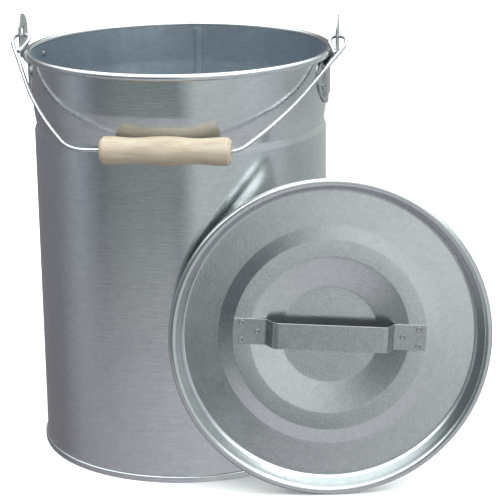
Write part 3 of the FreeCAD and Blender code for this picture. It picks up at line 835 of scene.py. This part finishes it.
# Which faces of a piece of the can look towards the can's axis, below the rim.
def facesAxis(piece):
    faces = piece.data.polygons
    normal = np.empty(len(faces) * 3)
    centre = np.empty(len(faces) * 3)
    faces.foreach_get("normal", normal)
    faces.foreach_get("center", centre)
    normal = normal.reshape(-1, 3)
    centre = centre.reshape(-1, 3)
    inward = (normal[:, :2] * centre[:, :2]).sum(1) < 0
    return inward & (centre[:, 2] < (can["height"] - 2 * can["wire"]) * mm)


finishes = {
    sheetZinc: [shell, seam, basePan],
    lidZinc: [panel],
    strapZinc: earPieces + [lidStrap],
    rivetZinc: earRivets + strapRivets,
    wireZinc: [wire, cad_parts["rim_wire"]],
    beechWood: [turnedGrip],
}
for material, pieces in finishes.items():
    for piece in pieces:
        piece.data.materials.clear()
        piece.data.materials.append(material)
# the inside of the can is duller than its outside, and its bluer tint is painted light: a copy of
# the sheet whose tint is raised to stand in for light falling into the can
for piece in (shell, seam):
    piece.data.materials.append(insidePaintedLightZinc)
    piece.data.polygons.foreach_set("material_index", facesAxis(piece).astype(np.int32))
print("materials set")


studio = {
    "floor": 8.0,            # metres across
    "floorShade": "#f4f4f4",
    "floorRough": 0.9,
    "view": "Standard",
    # shades of the studio's walls by bearing, in degrees to the right of straight out in
    # front of the can: at eye level, below it, and lower down
    "eyeWalls": [
        (-180, "#8f8d92"), (-98, "#8e9096"), (-78, "#afb6be"), (-55, "#828c88"), (-30, "#8a9296"),
        (-12, "#62696f"), (-3, "#656c72"), (2, "#8f969a"), (6, "#bcc4c4"), (9, "#d2dad8"),
        (13, "#eaf0ee"), (18, "#f4f8f7"), (45, "#eaf0ee"), (64, "#dbe2e8"), (90, "#dee4ea"),
        (104, "#cad3d0"), (150, "#d5dedb"), (180, "#c8cecc"),
    ],
    "walls": [
        (-180, "#8f8d92"), (-150, "#86848a"), (-104, "#8e9096"), (-82, "#afb6be"), (-70, "#9a9fa9"),
        (-58, "#6c737e"), (-48, "#7e8884"), (-25, "#8f9995"), (-3, "#8c9692"), (3, "#687174"),
        (9, "#6c7678"), (14, "#aab3b1"), (19, "#d2dbd8"), (45, "#cfd8d5"), (64, "#dbe2e8"),
        (84, "#cbd2d6"), (104, "#b0b9b6"), (150, "#c5cecb"), (180, "#c8cecc"),
    ],
    "lowWalls": [
        (-180, "#7f7d84"), (-110, "#8b898f"), (-85, "#aeacb3"), (-60, "#bcbac1"), (-25, "#cbcad1"),
        (0, "#dad9e0"), (30, "#d8d7dd"), (90, "#d0d2d6"), (180, "#c6c8ca"),
    ],
    # heights of a direction, as the sine of its slope: where the middle walls turn into the
    # eye level ones, the middle ones into the low ones, and the walls into the ceiling
    "eyeBand": (-0.17, -0.11),
    "lowBand": (-0.22, -0.34),
    "skyBand": (0.3, 0.75),
    "sky": "#f2f6f6",
    "skyStrength": 3.0,
}

keyLamp = {"place": (1.8, -1.2, 2.6), "target": (0.0, 0.0, 0.2), "size": (1.4, 1.4), "power": 20}

# place in metres; turned down, left and rolled by degrees; lens in millimetres
view = {"place": (0.25595, -1.8212, 0.73395), "down": 16.337, "left": 5.860, "roll": -0.709,
        "lens": 133.03, "sensor": 36}


# Pale square floor, centred under the can.
def floorPiece():
    side = studio["floor"] / 2 / mm
    points = [(-side, -side, 0), (side, -side, 0), (side, side, 0), (-side, side, 0)]
    mesh = bpy.data.meshes.new("floor")
    mesh.from_pydata([tuple(c * mm for c in p) for p in points], [], [(0, 1, 2, 3)])
    piece = bpy.data.objects.new("floor", mesh)
    bpy.context.scene.collection.objects.link(piece)
    material, _, shader = newMaterial("paleFloor")
    shader.inputs["Base Color"].default_value = linear(studio["floorShade"])
    shader.inputs["Roughness"].default_value = studio["floorRough"]
    mesh.materials.append(material)
    piece.visible_glossy = False     # the metal mirrors the studio's walls, not the floor
    piece.visible_diffuse = False    # and the floor throws no light up at the grip


# Colour ramp round the studio from (degrees, hex colour) pairs.
def bearingRamp(tree, share, shades):
    return ramp(tree, share, [(0.5 + degrees / 360, colour) for degrees, colour in shades])


# Soft studio: plain white behind the object, grey walls for the bright metal to mirror,
# and a wide white ceiling light.
def surroundings():
    world = bpy.data.worlds.new("studio")
    bpy.context.scene.world = world
    world.use_nodes = True
    tree = world.node_tree
    tree.nodes.clear()
    way = addNode(tree, "ShaderNodeTexCoord").outputs["Generated"]
    split = addNode(tree, "ShaderNodeSeparateXYZ", {}, Vector=way)
    front = addNode(tree, "ShaderNodeMath", {"operation": "MULTIPLY", 1: -1.0},
                    input0=split.outputs[1])
    bearing = addNode(tree, "ShaderNodeMath", {"operation": "ARCTAN2"}, input0=split.outputs[0],
                      input1=front.outputs[0])
    share = addNode(tree, "ShaderNodeMapRange", {"From Min": -math.pi, "From Max": math.pi},
                    Value=bearing.outputs[0]).outputs[0]
    eye = bearingRamp(tree, share, studio["eyeWalls"])
    middle = bearingRamp(tree, share, studio["walls"])
    low = bearingRamp(tree, share, studio["lowWalls"])
    rise = split.outputs[2]
    start, end = studio["eyeBand"]
    eyeShare = addNode(tree, "ShaderNodeMapRange", {"From Min": start, "From Max": end}, Value=rise)
    high = addNode(tree, "ShaderNodeMix", {"data_type": "RGBA"}, input0=eyeShare.outputs[0],
                   input6=middle.outputs[0], input7=eye.outputs[0])
    start, end = studio["lowBand"]
    lowShare = addNode(tree, "ShaderNodeMapRange", {"From Min": start, "From Max": end}, Value=rise)
    walls = addNode(tree, "ShaderNodeMix", {"data_type": "RGBA"}, input0=lowShare.outputs[0],
                    input6=high.outputs[2], input7=low.outputs[0])
    start, end = studio["skyBand"]
    skyShare = addNode(tree, "ShaderNodeMapRange", {"From Min": start, "From Max": end,
                       "interpolation_type": "SMOOTHSTEP"}, Value=rise)
    shade = addNode(tree, "ShaderNodeMix", {"data_type": "RGBA", 7: linear(studio["sky"])},
                    input0=skyShare.outputs[0], input6=walls.outputs[2])
    power = addNode(tree, "ShaderNodeMapRange", {"To Min": 1.0, "To Max": studio["skyStrength"]},
                    Value=skyShare.outputs[0])
    room = addNode(tree, "ShaderNodeBackground", {}, Color=shade.outputs[2],
                   Strength=power.outputs[0])
    backdrop = addNode(tree, "ShaderNodeBackground", {"Color": (1.0, 1.0, 1.0, 1.0)})
    seen = addNode(tree, "ShaderNodeLightPath")
    both = addNode(tree, "ShaderNodeMixShader", {}, input0=seen.outputs["Is Camera Ray"],
                   input1=room.outputs[0], input2=backdrop.outputs[0])
    output = tree.nodes.new("ShaderNodeOutputWorld")
    tree.links.new(both.outputs[0], output.inputs[0])


# Square lamp at a place, turned to face its target.
def softbox(name, place, target, size, power):
    lamp = bpy.data.lights.new(name, "AREA")
    lamp.shape = "RECTANGLE"
    lamp.size, lamp.size_y = size
    lamp.energy = power
    piece = bpy.data.objects.new(name, lamp)
    bpy.context.scene.collection.objects.link(piece)
    piece.location = place
    piece.rotation_euler = (Vector(target) - Vector(place)).to_track_quat("-Z", "Y").to_euler()


def mainCamera():
    data = bpy.data.cameras.new("camera")
    data.lens = view["lens"]
    data.sensor_width = view["sensor"]
    camera = bpy.data.objects.new("camera", data)
    bpy.context.scene.collection.objects.link(camera)
    turn = (Matrix.Rotation(math.radians(view["left"]), 4, "Z")
            @ Matrix.Rotation(math.radians(90 - view["down"]), 4, "X")
            @ Matrix.Rotation(math.radians(view["roll"]), 4, "Z"))
    camera.matrix_world = Matrix.Translation(view["place"]) @ turn
    bpy.context.scene.camera = camera


floorPiece()
surroundings()
softbox("keyLight", keyLamp["place"], keyLamp["target"], keyLamp["size"], keyLamp["power"])
mainCamera()
bpy.context.scene.view_settings.view_transform = studio["view"]
print("studio set")
